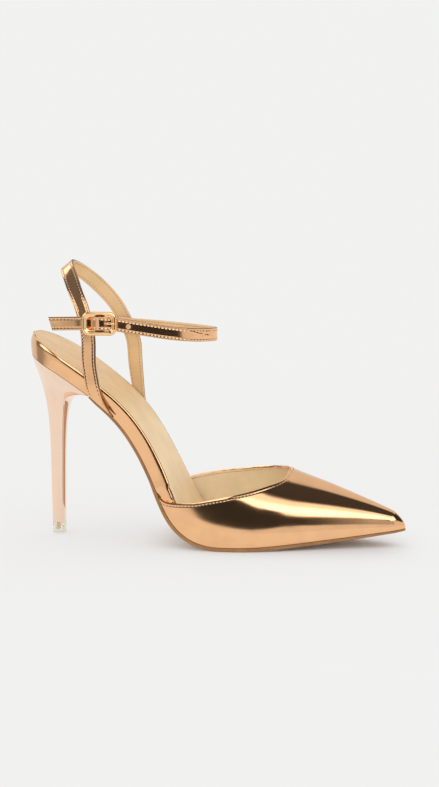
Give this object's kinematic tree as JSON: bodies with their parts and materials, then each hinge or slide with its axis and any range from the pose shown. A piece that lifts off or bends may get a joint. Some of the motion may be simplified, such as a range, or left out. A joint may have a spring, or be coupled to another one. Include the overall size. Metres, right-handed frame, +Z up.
{
  "type": "high heel shoe",
  "caption": "High heel shoe for the right foot: hollow pointed vamp, bare shank, sling strap round the back of the ankle, buckled ankle strap and a slim tall heel with a clear tip.",
  "frame": {"origin": "middle of the heel tip's flat rest face, on the floor", "axes": "+X to the toe, +Y to the inner side of the foot, +Z up; the floor is z = 0"},
  "size_m": [0.2267, 0.071, 0.1693],
  "materials": {
    "mirror_rose_gold": "rose gold mirror foil on leather",
    "plated_rose_gold": "polished rose gold plating on moulded plastic",
    "tan_sole": "smooth tan sole leather, stained edge",
    "beige_lining": "soft matt beige lining leather",
    "clear_tip": "clear hard plastic",
    "bright_gold": "polished gold plating",
    "brass_pin": "plain drawn pin"
  },
  "bodies": {
    "root": {"outsole": "tan_sole", "insole_board": "mirror_rose_gold", "sock": "beige_lining", "vamp": "mirror_rose_gold", "heel": "plated_rose_gold", "heel_tip": "clear_tip", "tip_dowel": "brass_pin", "sling_strap": "mirror_rose_gold", "ankle_strap": "mirror_rose_gold", "buckle": "bright_gold", "prong": "bright_gold"}
  },
  "joints": []
}
